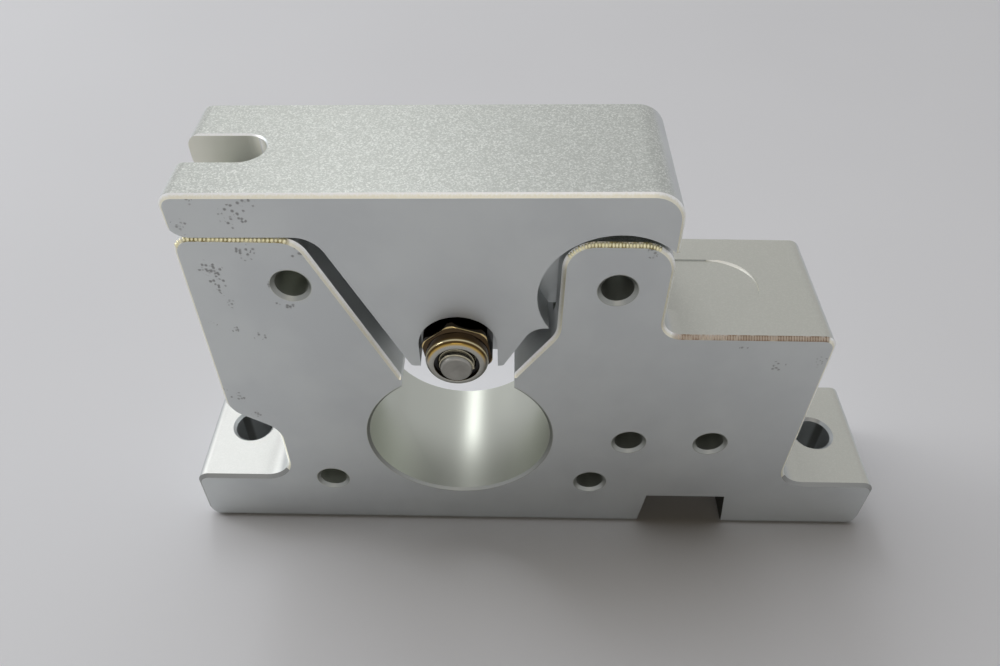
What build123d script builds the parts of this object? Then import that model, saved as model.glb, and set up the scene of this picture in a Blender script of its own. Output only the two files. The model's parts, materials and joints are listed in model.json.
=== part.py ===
"""Filament feeder block: a milled block that a stepper motor bolts to, with a hinged idler lever.

Frame: +X to the outlet side, +Y from the front face to the motor, +Z up, in millimetres.
The origin is the middle of the square of motor screw holes, on the back face that the motor meets.
Depths are distances forward from that back face. Profiles are drawn in the front view, as (x, z).
"""

import os
from math import asin, cos, degrees, radians, sin, tan

from build123d import *

# Block
BLOCK_DEPTH = 16.0
BLOCK_LEFT = -25.6
BLOCK_RIGHT = 38.4
POST_TOP = 21.05
EDGE_BREAK = 0.4
BACK_EDGE_BREAK = 0.2
HOLE_BREAK = 0.35

# Motor screw holes, on the corners of a square about the origin
MOTOR_SPACING = 31.0
SCREW_HOLE_RADIUS = 1.6

# Drive bore, and the neck that opens it into the gap between the posts
BORE_RADIUS = 10.25
BORE_Z = -7.2
NECK_HALF_WIDTH = 6.0
NECK_ROUNDING = 1.0
BORE_BREAK = 0.3

# Gap between the posts
LEFT_FLANK_ANGLE = 24.1
LEFT_FLANK_FOOT_Z = 2.85
RIGHT_FLANK_ANGLE = 34.0
RIGHT_FLANK_FOOT_Z = 3.4
LEFT_POST_CORNER = 1.8
LEFT_POST_SHOULDER = 2.7

# Right post, a clevis about the hinge hole
RIGHT_POST_LEFT = 10.07
RIGHT_POST_RIGHT = 20.6
RIGHT_POST_LEFT_CORNER = 3.0
RIGHT_POST_RIGHT_CORNER = 3.3
RIGHT_POST_BEND = 3.0
KNUCKLE_WIDTH = 8.0
KNUCKLE_SIDE_GAP = 0.15
KNUCKLE_FLOOR_GAP = 0.85
CUTTER_MARK_DEPTH = 0.15
CUTTER_STOP_X = 27.7

# Shoulder on the outlet side
SHOULDER_TOP = 9.45
SHOULDER_FILLET = 2.0
SHOULDER_CORNER = 1.5

# Base with a foot at each end
BASE_LEFT = -32.2
BASE_RIGHT = 50.2
BASE_BOTTOM = -23.8
FOOT_TOP = -15.45
FOOT_CORNER = 1.5
FOOT_FILLET = 3.0
FOOT_HOLE_RADIUS = 2.25
LEFT_FOOT_HOLE_INSET = 5.35
RIGHT_FOOT_HOLE_INSET = 5.7
FOOT_HOLE_BREAK = 0.35

# Relief beside the left foot, for the head of its screw
RELIEF_WALL = -20.6
RELIEF_TOP_OUTER = -3.2
RELIEF_TOP_INNER = -6.5
RELIEF_ROUNDING = 2.9

# Channel across the underside
CHANNEL_X = 27.55
CHANNEL_TOP_WIDTH = 9.6
CHANNEL_MOUTH_WIDTH = 10.8
CHANNEL_DEPTH = 5.6

# Pair of accessory screw holes
ACCESSORY_X = 19.3
ACCESSORY_PITCH = 9.3
ACCESSORY_Z = -7.7

# Filament path, and the outlet port at its end
FILAMENT_Z = 0.0
FILAMENT_HOLE_RADIUS = 1.7
PORT_RADIUS = 4.5
PORT_DEPTH = 9.0

# Tapped hole for the tension screw, and its distance from the back face
TENSION_DEPTH = 8.45
TENSION_HOLE_RADIUS = 1.65
TENSION_HOLE_DEPTH = 14.0

# Lever, drawn level and then lowered about the hinge until its arm lies on the left post
LEVER_LEFT = -25.45
LEVER_RIGHT = 20.75
LEVER_TOP = 26.5
LEVER_BACK_GAP = 0.6
ARM_THICKNESS = 4.6
LEVER_EDGE_BREAK = 0.38
LEVER_LEFT_CORNER = 1.4
LEVER_RIGHT_CORNER = 3.0
ARM_TIP_ROUNDING = 2.0
REST_CLEARANCE = 0.05
RELIEF_ARC_RADIUS = 7.43
RELIEF_ARC_SHIFT_X = -0.2
RELIEF_ARC_SHIFT_Z = -0.83
WEB_FLOOR_Z = 10.35
WEB_OVERLAP = 0.5

# Nose of the lever
NOSE_BOTTOM = 5.1
NOSE_LEFT_GAP = 1.9
NOSE_RIGHT = 4.55
NOSE_RIGHT_ANGLE = 28.5
NOSE_SHELF_Z = 10.5
NOSE_SHELF_ROUNDING = 2.2
NOSE_TIP_ROUNDING = 0.5
NOSE_ROOT_ROUNDING = 3.0

# Slot for the tension screw, open at the end of the arm
TENSION_SLOT_WIDTH = 4.6
TENSION_SLOT_END = -17.25
TENSION_SLOT_BREAK = 0.16
TENSION_SCREW_PLAY = 1.2

# Idler bearing, of the 4 x 13 x 5 size
AXLE_X = 0.0
AXLE_Z = 8.05
BEARING_BORE = 4.0
BEARING_OUTER = 13.0
BEARING_WIDTH = 5.0
INNER_LAND_RADIUS = 3.3
OUTER_LAND_RADIUS = 5.2
BALL_RADIUS = 1.19
BALL_COUNT = 7
BALL_SIDES = 10
BALL_BANDS = 5
RACE_CLEARANCE = 0.1
RACE_HALF_WIDTH = 0.88
CAGE_WALL = 0.5
CAGE_SIDES = 14
CAGE_WIDTH = 3.2
CAGE_BALL_GAP = 0.08
SHIELD_THICKNESS = 0.25
SHIELD_RECESS = 0.2
SHIELD_GAP = 0.15
RING_BREAK = 0.3
SPACER_THICKNESS = 0.5
SPACER_RADIUS = 2.75
BEARING_ROOM = 0.7

# Axle screw and lock nut
BOLT_RADIUS = 1.95
BOLT_LENGTH = 16.0
BOLT_TIP_BREAK = 0.45
BOLT_HOLE_RADIUS = 2.0
HEAD_RADIUS = 3.8
HEAD_HEIGHT = 2.2
HEAD_CROWN = 0.6
SOCKET_ACROSS_FLATS = 2.5
SOCKET_DEPTH = 1.3
HEAD_POCKET_DEPTH = 3.4
HEAD_POCKET_RADIUS = 4.2
NUT_ACROSS_FLATS = 6.85
NUT_HEX_HEIGHT = 3.2
NUT_HEIGHT = 5.0
NUT_CORNER_RADIUS = 3.45
COLLAR_RADIUS = 3.15
COLLAR_LIP_RADIUS = 2.25
COLLAR_ROUNDING = 0.8
COLLAR_LIP_DEPTH = 0.35
INSERT_THICKNESS = 1.3
NUT_TURN = 43.0
NUT_POCKET_DEPTH = 2.4
NUT_POCKET_RADIUS = 4.0

# Places worked out from the sizes above
MID_DEPTH = BLOCK_DEPTH / 2
HALF_SPACING = MOTOR_SPACING / 2
HINGE = (HALF_SPACING, HALF_SPACING)
SLOT_FLOOR = SHOULDER_TOP - CUTTER_MARK_DEPTH
SLOT_WIDTH = KNUCKLE_WIDTH + 2 * KNUCKLE_SIDE_GAP
KNUCKLE_RADIUS = HALF_SPACING - SLOT_FLOOR - KNUCKLE_FLOOR_GAP
ARM_UNDERSIDE = LEVER_TOP - ARM_THICKNESS
CAVITY_WIDTH = BEARING_WIDTH + 2 * SPACER_THICKNESS
PITCH_RADIUS = (INNER_LAND_RADIUS + OUTER_LAND_RADIUS) / 2
FRONT = BLOCK_DEPTH
BACK = 0.0
LEVER_BACK = BACK + LEVER_BACK_GAP

# Reach of a cut past the surface that it opens, and the slack of an edge search
OVERRUN = 3.0
TINY = 0.001


def outline(corners):
    """Face in the front view through corners given as (x, z, rounding)."""
    points = [(x, z) for x, z, rounding in corners]
    roundings = [rounding for x, z, rounding in corners]
    return make_face(FilletPolyline(*points, radius=roundings, close=True))


def disc(centre, radius):
    """Round face in the front view."""
    return Pos(*centre) * Circle(radius)


def slab(face, near, far):
    """Solid of a front view face between two depths."""
    return extrude(Plane.XZ.offset(near) * face, far - near)


def broken_edges(solid, size, depth):
    """Solid with its profile's edges chamfered at a depth."""
    return chamfer(solid.edges().filter_by_position(Axis.Y, -depth - TINY, -depth + TINY), size)


def drill(centre, radius, near, far, size=0.0):
    """Round tool along the depth, flared at its far end by the size of an edge break."""
    tool = slab(disc(centre, radius), near, far)
    if size:
        mouth = Plane(origin=(centre[0], -far, centre[1]), z_dir=(0, 1, 0))
        tool += extrude(mouth * Circle(radius + size), size, taper=45)
    return tool


def turned(profile, centre):
    """Solid turned about a line along the depth, from a profile of (radius, depth) points."""
    plane = Plane(origin=(centre[0], 0, centre[1]), x_dir=(1, 0, 0), z_dir=(0, 0, 1))
    face = plane * make_face(Polyline([(radius, -depth) for radius, depth in profile], close=True))
    return revolve(face, Axis((centre[0], 0, centre[1]), (0, 1, 0)))


def block_outline():
    """Outer form of the block, with the gap between its posts."""
    left_lean = tan(radians(LEFT_FLANK_ANGLE))
    right_lean = tan(radians(RIGHT_FLANK_ANGLE))
    left_flank_top = -NECK_HALF_WIDTH - (POST_TOP - LEFT_FLANK_FOOT_Z) * left_lean
    bend_z = RIGHT_FLANK_FOOT_Z + (RIGHT_POST_LEFT - NECK_HALF_WIDTH) / right_lean
    return outline([
        (BASE_LEFT, BASE_BOTTOM, FOOT_CORNER),
        (BASE_LEFT, FOOT_TOP, FOOT_CORNER),
        (RELIEF_WALL, FOOT_TOP, FOOT_FILLET),
        (RELIEF_WALL, RELIEF_TOP_INNER, RELIEF_ROUNDING),
        (BLOCK_LEFT, RELIEF_TOP_OUTER, RELIEF_ROUNDING),
        (BLOCK_LEFT, POST_TOP, LEFT_POST_CORNER),
        (left_flank_top, POST_TOP, LEFT_POST_SHOULDER),
        (-NECK_HALF_WIDTH, LEFT_FLANK_FOOT_Z, 0),
        (NECK_HALF_WIDTH, RIGHT_FLANK_FOOT_Z, 0),
        (RIGHT_POST_LEFT, bend_z, RIGHT_POST_BEND),
        (RIGHT_POST_LEFT, POST_TOP, RIGHT_POST_LEFT_CORNER),
        (RIGHT_POST_RIGHT, POST_TOP, RIGHT_POST_RIGHT_CORNER),
        (RIGHT_POST_RIGHT, SHOULDER_TOP, SHOULDER_FILLET),
        (BLOCK_RIGHT, SHOULDER_TOP, SHOULDER_CORNER),
        (BLOCK_RIGHT, FOOT_TOP, FOOT_FILLET),
        (BASE_RIGHT, FOOT_TOP, FOOT_CORNER),
        (BASE_RIGHT, BASE_BOTTOM, FOOT_CORNER),
    ])


def bore_tool():
    """Drive bore and the neck above it, with rounded corners where they meet."""
    neck_top = max(LEFT_FLANK_FOOT_Z, RIGHT_FLANK_FOOT_Z) + OVERRUN
    neck_height = neck_top - BORE_Z
    neck = Pos(0, BORE_Z + neck_height / 2) * Rectangle(2 * NECK_HALF_WIDTH, neck_height)
    face = disc((0, BORE_Z), BORE_RADIUS) + neck
    corners = [v for v in face.vertices() if BORE_Z < v.Y < neck_top - TINY]
    face = fillet(corners, NECK_ROUNDING)
    tool = slab(face, BACK, FRONT)
    mouth = Plane(origin=(0, -FRONT, BORE_Z), z_dir=(0, 1, 0))
    return tool + extrude(mouth * Circle(BORE_RADIUS + BORE_BREAK), BORE_BREAK, taper=45)


def knuckle_slot():
    """Cutter path through the right post, ending in a round mark on the shoulder."""
    start = RIGHT_POST_LEFT - OVERRUN
    path = Pos((start + CUTTER_STOP_X) / 2, -MID_DEPTH) * Rectangle(CUTTER_STOP_X - start, SLOT_WIDTH)
    path += Pos(CUTTER_STOP_X, -MID_DEPTH) * Circle(SLOT_WIDTH / 2)
    return extrude(Plane.XY.offset(SLOT_FLOOR) * path, POST_TOP - SLOT_FLOOR + OVERRUN)


def upright_hole(x, depth, radius, bottom, top, size):
    """Vertical round tool, flared at its top."""
    tool = Pos(x, -depth, (bottom + top) / 2) * Cylinder(radius, top - bottom)
    flare = Pos(x, -depth, top - size / 2) * Cone(radius, radius + size, size)
    return tool + flare


def level_hole(radius, left, right):
    """Round tool along the filament line."""
    place = Pos((left + right) / 2, -MID_DEPTH, FILAMENT_Z) * Rot(0, 90, 0)
    return place * Cylinder(radius, right - left)


def feeder_block():
    """The block that carries everything."""
    block = broken_edges(slab(block_outline(), BACK, FRONT), EDGE_BREAK, FRONT)
    block = broken_edges(block, BACK_EDGE_BREAK, BACK)
    block -= bore_tool()
    block -= knuckle_slot()
    channel = outline([
        (CHANNEL_X - CHANNEL_MOUTH_WIDTH / 2, BASE_BOTTOM, 0),
        (CHANNEL_X - CHANNEL_TOP_WIDTH / 2, BASE_BOTTOM + CHANNEL_DEPTH, 0),
        (CHANNEL_X + CHANNEL_TOP_WIDTH / 2, BASE_BOTTOM + CHANNEL_DEPTH, 0),
        (CHANNEL_X + CHANNEL_MOUTH_WIDTH / 2, BASE_BOTTOM, 0),
    ])
    block -= slab(channel, BACK, FRONT)
    for x in (-HALF_SPACING, HALF_SPACING):
        for z in (-HALF_SPACING, HALF_SPACING):
            block -= drill((x, z), SCREW_HOLE_RADIUS, BACK, FRONT, HOLE_BREAK)
    for x in (ACCESSORY_X, ACCESSORY_X + ACCESSORY_PITCH):
        block -= drill((x, ACCESSORY_Z), SCREW_HOLE_RADIUS, BACK, FRONT, HOLE_BREAK)
    for x in (BASE_LEFT + LEFT_FOOT_HOLE_INSET, BASE_RIGHT - RIGHT_FOOT_HOLE_INSET):
        block -= upright_hole(x, MID_DEPTH, FOOT_HOLE_RADIUS, BASE_BOTTOM, FOOT_TOP, FOOT_HOLE_BREAK)
    bottom = POST_TOP - TENSION_HOLE_DEPTH
    block -= upright_hole(
        tension_x(), TENSION_DEPTH, TENSION_HOLE_RADIUS, bottom, POST_TOP, HOLE_BREAK)
    block -= level_hole(FILAMENT_HOLE_RADIUS, BLOCK_LEFT, BLOCK_RIGHT)
    block -= level_hole(PORT_RADIUS, BLOCK_RIGHT - PORT_DEPTH, BLOCK_RIGHT)
    return block


def tension_x():
    """Where the tension screw stands, a little way into the arm's slot."""
    return TENSION_SLOT_END - TENSION_SLOT_WIDTH / 2 - TENSION_SCREW_PLAY


def rest_angle():
    """Turn about the hinge that lays the level arm on the left post."""
    drop = ARM_UNDERSIDE - POST_TOP - REST_CLEARANCE
    reach = HINGE[0] - LEVER_LEFT - ARM_TIP_ROUNDING
    return -degrees(asin(drop / reach))


def lowered(solid):
    """Solid of the level lever brought to its rest place."""
    return solid.rotate(Axis((HINGE[0], 0, HINGE[1]), (0, 1, 0)), rest_angle())


def lever_outline():
    """Underside of the lever: arm, nose and shelf; its outer sides are trimmed later."""
    lean = tan(radians(LEFT_FLANK_ANGLE))
    shift = NOSE_LEFT_GAP / cos(radians(LEFT_FLANK_ANGLE))
    foot_x = -NECK_HALF_WIDTH + shift

    def left_flank(z):
        return foot_x - (z - LEFT_FLANK_FOOT_Z) * lean

    shelf_x = NOSE_RIGHT + (NOSE_SHELF_Z - NOSE_BOTTOM) * tan(radians(NOSE_RIGHT_ANGLE))
    past_top = LEVER_TOP + OVERRUN
    past_right = LEVER_RIGHT + OVERRUN
    past_left = LEVER_LEFT - OVERRUN
    return outline([
        (past_left, past_top, 0),
        (past_right, past_top, 0),
        (past_right, HINGE[1], 0),
        (HINGE[0], HINGE[1], 0),
        (HINGE[0], NOSE_SHELF_Z, 0),
        (shelf_x, NOSE_SHELF_Z, NOSE_SHELF_ROUNDING),
        (NOSE_RIGHT, NOSE_BOTTOM, NOSE_TIP_ROUNDING),
        (left_flank(NOSE_BOTTOM), NOSE_BOTTOM, NOSE_TIP_ROUNDING),
        (left_flank(ARM_UNDERSIDE), ARM_UNDERSIDE, NOSE_ROOT_ROUNDING),
        (past_left, ARM_UNDERSIDE, 0),
    ])


def lever_envelope():
    """Top and ends of the lever, with their edges broken and the arm's tip rounded below."""
    sides = outline([
        (LEVER_LEFT, LEVER_TOP, LEVER_LEFT_CORNER),
        (LEVER_RIGHT, LEVER_TOP, LEVER_RIGHT_CORNER),
        (LEVER_RIGHT, NOSE_BOTTOM - OVERRUN, 0),
        (LEVER_LEFT, NOSE_BOTTOM - OVERRUN, 0),
    ])
    block = broken_edges(slab(sides, LEVER_BACK, FRONT), LEVER_EDGE_BREAK, FRONT)
    block = broken_edges(block, BACK_EDGE_BREAK, LEVER_BACK)
    inner_x = LEVER_LEFT + ARM_TIP_ROUNDING
    inner_z = ARM_UNDERSIDE + ARM_TIP_ROUNDING
    size = ARM_TIP_ROUNDING + OVERRUN
    tip = Pos(inner_x - size / 2, inner_z - size / 2) * Rectangle(size, size)
    return block - slab(tip - disc((inner_x, inner_z), ARM_TIP_ROUNDING), BACK, FRONT)


def knuckle():
    """Middle plate of the lever that goes between the clevis plates, about the hinge."""
    arc_centre = (HINGE[0] + RELIEF_ARC_SHIFT_X, HINGE[1] + RELIEF_ARC_SHIFT_Z)
    right = HINGE[0] + KNUCKLE_RADIUS
    left = HINGE[0] - RELIEF_ARC_RADIUS - OVERRUN
    web = outline([
        (left, WEB_FLOOR_Z, 0),
        (HINGE[0], WEB_FLOOR_Z, 0),
        (HINGE[0], HINGE[1], 0),
        (right, HINGE[1], 0),
        (right, ARM_UNDERSIDE + WEB_OVERLAP, 0),
        (left, ARM_UNDERSIDE + WEB_OVERLAP, 0),
    ])
    web &= disc(arc_centre, RELIEF_ARC_RADIUS + WEB_OVERLAP)
    face = web + disc(HINGE, KNUCKLE_RADIUS)
    return slab(face, MID_DEPTH - KNUCKLE_WIDTH / 2, MID_DEPTH + KNUCKLE_WIDTH / 2)


def arch(radius):
    """Round-topped opening about the axle, open below."""
    height = AXLE_Z - NOSE_BOTTOM + OVERRUN
    below = Pos(AXLE_X, AXLE_Z - height / 2) * Rectangle(2 * radius, height)
    return disc((AXLE_X, AXLE_Z), radius) + below


def idler_lever():
    """The hinged lever that presses the idler bearing on the filament."""
    arc_centre = (HINGE[0] + RELIEF_ARC_SHIFT_X, HINGE[1] + RELIEF_ARC_SHIFT_Z)
    face = lever_outline() - disc(arc_centre, RELIEF_ARC_RADIUS)
    lever = slab(face, BACK, FRONT) & lever_envelope()
    lever += knuckle()
    cavity_near = MID_DEPTH - CAVITY_WIDTH / 2
    lever -= slab(arch(BEARING_OUTER / 2 + BEARING_ROOM), cavity_near, cavity_near + CAVITY_WIDTH)
    lever -= slab(arch(NUT_POCKET_RADIUS), FRONT - NUT_POCKET_DEPTH, FRONT)
    lever -= slab(arch(HEAD_POCKET_RADIUS), BACK, BACK + HEAD_POCKET_DEPTH)
    lever -= drill((AXLE_X, AXLE_Z), BOLT_HOLE_RADIUS, BACK, FRONT)
    lever -= drill(HINGE, SCREW_HOLE_RADIUS, BACK, FRONT)
    lever -= tension_slot()
    return lowered(lever)


def tension_slot():
    """Slot across the arm, open at its end, with broken top edges."""
    def stadium(width):
        start = LEVER_LEFT - OVERRUN
        stop = TENSION_SLOT_END - TENSION_SLOT_WIDTH / 2
        face = Pos((start + stop) / 2, -TENSION_DEPTH) * Rectangle(stop - start, width)
        return face + Pos(stop, -TENSION_DEPTH) * Circle(width / 2)

    below = Plane.XY.offset(ARM_UNDERSIDE - OVERRUN)
    tool = extrude(below * stadium(TENSION_SLOT_WIDTH), ARM_THICKNESS + 2 * OVERRUN)
    wide = TENSION_SLOT_WIDTH + 2 * TENSION_SLOT_BREAK
    flare = extrude(Plane.XY.offset(LEVER_TOP) * stadium(wide), -TENSION_SLOT_BREAK, taper=45)
    return tool + flare


def ball(place):
    """Bearing ball with flat facets, because the shields hide it."""
    rings = []
    for band in range(BALL_BANDS + 1):
        lean = radians(180 * (band + 0.5) / (BALL_BANDS + 1))
        level = Plane.XY.offset(-BALL_RADIUS * cos(lean))
        ring = level * RegularPolygon(BALL_RADIUS * sin(lean), BALL_SIDES)
        rings.append(ring)
    facets = [rings[0], rings[-1]]
    for low, high in zip(rings, rings[1:]):
        for edge, other in zip(low.edges(), high.edges()):
            corners = (edge @ 0, edge @ 1, other @ 1, other @ 0)
            facets.append(make_face(Polyline(*corners, close=True)))
    return place * Solid(Shell([face for facet in facets for face in facet.faces()]))


def race(land, way):
    """Corners of a ball groove in a land, as (radius, depth) points; way is 1 for the outer ring."""
    bottom = PITCH_RADIUS + way * (BALL_RADIUS + RACE_CLEARANCE)
    return [
        (land, MID_DEPTH - RACE_HALF_WIDTH),
        (bottom, MID_DEPTH),
        (land, MID_DEPTH + RACE_HALF_WIDTH),
    ]


def bearing_rings(near, far):
    """Inner and outer ring of the bearing."""
    centre = (AXLE_X, AXLE_Z)
    inner = turned([
        (BEARING_BORE / 2, near),
        (INNER_LAND_RADIUS, near),
        *race(INNER_LAND_RADIUS, -1),
        (INNER_LAND_RADIUS, far),
        (BEARING_BORE / 2, far),
    ], centre)
    rim = BEARING_OUTER / 2
    outer = turned([
        (OUTER_LAND_RADIUS, near),
        *race(OUTER_LAND_RADIUS, 1),
        (OUTER_LAND_RADIUS, far),
        (rim - RING_BREAK, far),
        (rim, far - RING_BREAK),
        (rim, near + RING_BREAK),
        (rim - RING_BREAK, near),
    ], centre)
    return inner, outer


def bearing_solids():
    """Rings, balls, cage and shields of the idler bearing, by node name."""
    centre = (AXLE_X, AXLE_Z)
    near = MID_DEPTH - BEARING_WIDTH / 2
    far = MID_DEPTH + BEARING_WIDTH / 2
    inner, outer = bearing_rings(near, far)
    cage_face = Pos(*centre) * RegularPolygon(PITCH_RADIUS + CAGE_WALL / 2, CAGE_SIDES)
    cage_face -= Pos(*centre) * RegularPolygon(PITCH_RADIUS - CAGE_WALL / 2, CAGE_SIDES)
    cage = slab(cage_face, MID_DEPTH - CAGE_WIDTH / 2, MID_DEPTH + CAGE_WIDTH / 2)
    window = 2 * (BALL_RADIUS + CAGE_BALL_GAP)
    balls = []
    for index in range(BALL_COUNT):
        turn = 360 / BALL_COUNT * index
        place = Pos(AXLE_X, -MID_DEPTH, AXLE_Z) * Rot(0, turn, 0) * Pos(PITCH_RADIUS, 0, 0)
        balls.append(ball(place))
        cage -= place * Box(3 * CAGE_WALL, window, window)
    shield_face = disc(centre, OUTER_LAND_RADIUS) - disc(centre, INNER_LAND_RADIUS + SHIELD_GAP)
    rear_near = near + SHIELD_RECESS
    front_far = far - SHIELD_RECESS
    return {
        "bearing_inner_ring": inner,
        "bearing_outer_ring": outer,
        "bearing_balls": Part() + balls,
        "bearing_cage": cage,
        "bearing_rear_shield": slab(shield_face, rear_near, rear_near + SHIELD_THICKNESS),
        "bearing_front_shield": slab(shield_face, front_far - SHIELD_THICKNESS, front_far),
    }


def spacers():
    """Thin washers that hold the inner ring clear of the lever's cheeks."""
    centre = (AXLE_X, AXLE_Z)
    face = disc(centre, SPACER_RADIUS) - disc(centre, BOLT_HOLE_RADIUS)
    half = BEARING_WIDTH / 2
    rear = slab(face, MID_DEPTH - half - SPACER_THICKNESS, MID_DEPTH - half)
    front = slab(face, MID_DEPTH + half, MID_DEPTH + half + SPACER_THICKNESS)
    return {"rear_spacer": rear, "front_spacer": front}


def axle_bolt():
    """Round-headed screw that is the bearing's axle, with its head in the rear pocket."""
    seat = BACK + HEAD_POCKET_DEPTH
    tip = seat + BOLT_LENGTH
    crown = seat - HEAD_HEIGHT
    bolt = turned([
        (0, crown),
        (HEAD_RADIUS - HEAD_CROWN, crown),
        (HEAD_RADIUS, seat - HEAD_HEIGHT + HEAD_CROWN),
        (HEAD_RADIUS, seat),
        (BOLT_RADIUS, seat),
        (BOLT_RADIUS, tip - BOLT_TIP_BREAK),
        (BOLT_RADIUS - BOLT_TIP_BREAK, tip),
        (0, tip),
    ], (AXLE_X, AXLE_Z))
    socket = Pos(AXLE_X, AXLE_Z) * RegularPolygon(SOCKET_ACROSS_FLATS / 2, 6, major_radius=False)
    return bolt - slab(socket, crown, crown + SOCKET_DEPTH)


def axle_nut():
    """Hexagon lock nut with a round collar that holds a plastic ring."""
    seat = FRONT - NUT_POCKET_DEPTH
    hex_top = seat + NUT_HEX_HEIGHT
    top = seat + NUT_HEIGHT
    centre = (AXLE_X, AXLE_Z)
    hexagon = RegularPolygon(NUT_ACROSS_FLATS / 2, 6, major_radius=False, rotation=NUT_TURN)
    prism = slab(Pos(*centre) * hexagon, seat, hex_top)
    corner = NUT_ACROSS_FLATS / 2 / cos(radians(30))
    slope = (corner - NUT_CORNER_RADIUS) * tan(radians(30))
    crown = turned([
        (0, seat),
        (corner, seat),
        (corner, hex_top - slope),
        (NUT_CORNER_RADIUS, hex_top),
        (0, hex_top),
    ], centre)
    dome = COLLAR_ROUNDING * sin(radians(45))
    collar = turned([
        (0, hex_top),
        (COLLAR_RADIUS, hex_top),
        (COLLAR_RADIUS, top - COLLAR_ROUNDING),
        (COLLAR_RADIUS - COLLAR_ROUNDING + dome, top - COLLAR_ROUNDING + dome),
        (COLLAR_RADIUS - COLLAR_ROUNDING, top),
        (0, top),
    ], centre)
    nut = (prism & crown) + collar
    nut -= drill(centre, BOLT_RADIUS, seat, top)
    nut -= drill(centre, COLLAR_LIP_RADIUS, top - COLLAR_LIP_DEPTH - INSERT_THICKNESS, top)
    return nut


def nut_insert():
    """Plastic locking ring in the nut's collar."""
    top = FRONT - NUT_POCKET_DEPTH + NUT_HEIGHT - COLLAR_LIP_DEPTH
    face = disc((AXLE_X, AXLE_Z), COLLAR_LIP_RADIUS) - disc((AXLE_X, AXLE_Z), BOLT_RADIUS)
    return slab(face, top - INSERT_THICKNESS, top)


def pieces():
    """Every piece by node name, at rest."""
    solids = {
        "feeder_block": feeder_block(),
        "idler_lever": idler_lever(),
    }
    carried = {
        "axle_bolt": axle_bolt(),
        "axle_nut": axle_nut(),
        "nut_insert": nut_insert(),
    }
    carried.update(spacers())
    carried.update(bearing_solids())
    for name, solid in carried.items():
        solids[name] = lowered(solid)
    return solids


def main():
    os.makedirs("parts", exist_ok=True)
    for name, solid in pieces().items():
        export_step(solid, os.path.join("parts", name + ".step"))


if __name__ == "__main__":
    main()
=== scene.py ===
"""Looks for the filament feeder block: blasted aluminium, cutter marks, a lock nut and a stage."""

import json
from math import cos, pi, radians, sin

import bmesh
import bpy
from bpy.props import (
    FloatProperty,
    FloatVectorProperty,
    IntProperty,
    PointerProperty,
    StringProperty,
)
from mathutils import Matrix, Vector


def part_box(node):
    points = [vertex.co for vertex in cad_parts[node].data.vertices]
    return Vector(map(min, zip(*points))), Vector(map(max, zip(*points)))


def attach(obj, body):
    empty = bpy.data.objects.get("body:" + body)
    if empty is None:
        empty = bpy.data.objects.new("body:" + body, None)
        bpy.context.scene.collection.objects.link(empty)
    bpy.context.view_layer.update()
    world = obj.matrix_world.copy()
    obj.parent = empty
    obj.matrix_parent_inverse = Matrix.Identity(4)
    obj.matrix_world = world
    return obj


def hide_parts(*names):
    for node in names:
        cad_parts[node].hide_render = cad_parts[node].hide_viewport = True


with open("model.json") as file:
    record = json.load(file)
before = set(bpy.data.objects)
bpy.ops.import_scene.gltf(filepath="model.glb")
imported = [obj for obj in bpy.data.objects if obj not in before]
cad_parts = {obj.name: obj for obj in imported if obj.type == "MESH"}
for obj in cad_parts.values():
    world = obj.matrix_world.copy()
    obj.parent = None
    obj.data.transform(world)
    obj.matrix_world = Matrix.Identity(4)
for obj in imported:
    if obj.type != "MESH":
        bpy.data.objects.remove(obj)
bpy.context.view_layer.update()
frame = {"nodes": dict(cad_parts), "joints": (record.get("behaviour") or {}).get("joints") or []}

bl_info = {
    "name": "Feeder block looks",
    "version": (1, 0, 0),
    "blender": (4, 5, 0),
    "location": "View3D > Sidebar > Feeder",
    "description": "Finishes, small fasteners and studio stage for a filament feeder block",
    "category": "Object",
}

MM = 0.001
NODES = frame["nodes"]
BASE_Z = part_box("feeder_block")[0].z
FRONT_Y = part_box("feeder_block")[0].y
POST_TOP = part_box("feeder_block")[1].z
AXLE = Vector(next(j["pos_m"] for j in frame["joints"] if j["name"] == "idler_spin"))

# Places on the block and the lever, in millimetres
SHOULDER_TOP = 9.45
SHOULDER_EDGE = (22.0, 37.2)
CUTTER_STOP = (27.7, -8.0)
CUTTER_RADIUS = 4.15
EDGE_MIDDLE = 0.2
FEET_BELOW = -14.0
WORN_FROM = 19.9
NUT_FLOOR = -13.0
# Channel in the underside, as (left, right, top)
CHANNEL = (22.05, 33.05, BASE_Z / MM + 5.7)
# Slot at the lever's left end, as (left, right, front, back)
SLOT = (-26.0, -17.0, -10.4, -5.6)
# Roundings of the posts' tops, as (centre x, radius, first and last angle)
LEFT_POST = ((-23.8, 1.8, 150, 90), (-15.9, 2.7, 90, 74))
RIGHT_POST = ((13.07, 3.0, 150, 90), (17.3, 3.3, 90, 60))
# Round holes from front to back, as (x, z, radius over the broken edge)
NUT_POCKET = (AXLE.x / MM, AXLE.z / MM, 4.75)
HOLES = [
    (0.0, -7.2, 10.6),
    (-15.5, -15.5, 2.0),
    (-15.5, 15.5, 2.0),
    (15.5, -15.5, 2.0),
    (15.5, 15.5, 2.0),
    (19.3, -7.7, 2.0),
    (28.6, -7.7, 2.0),
]
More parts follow.
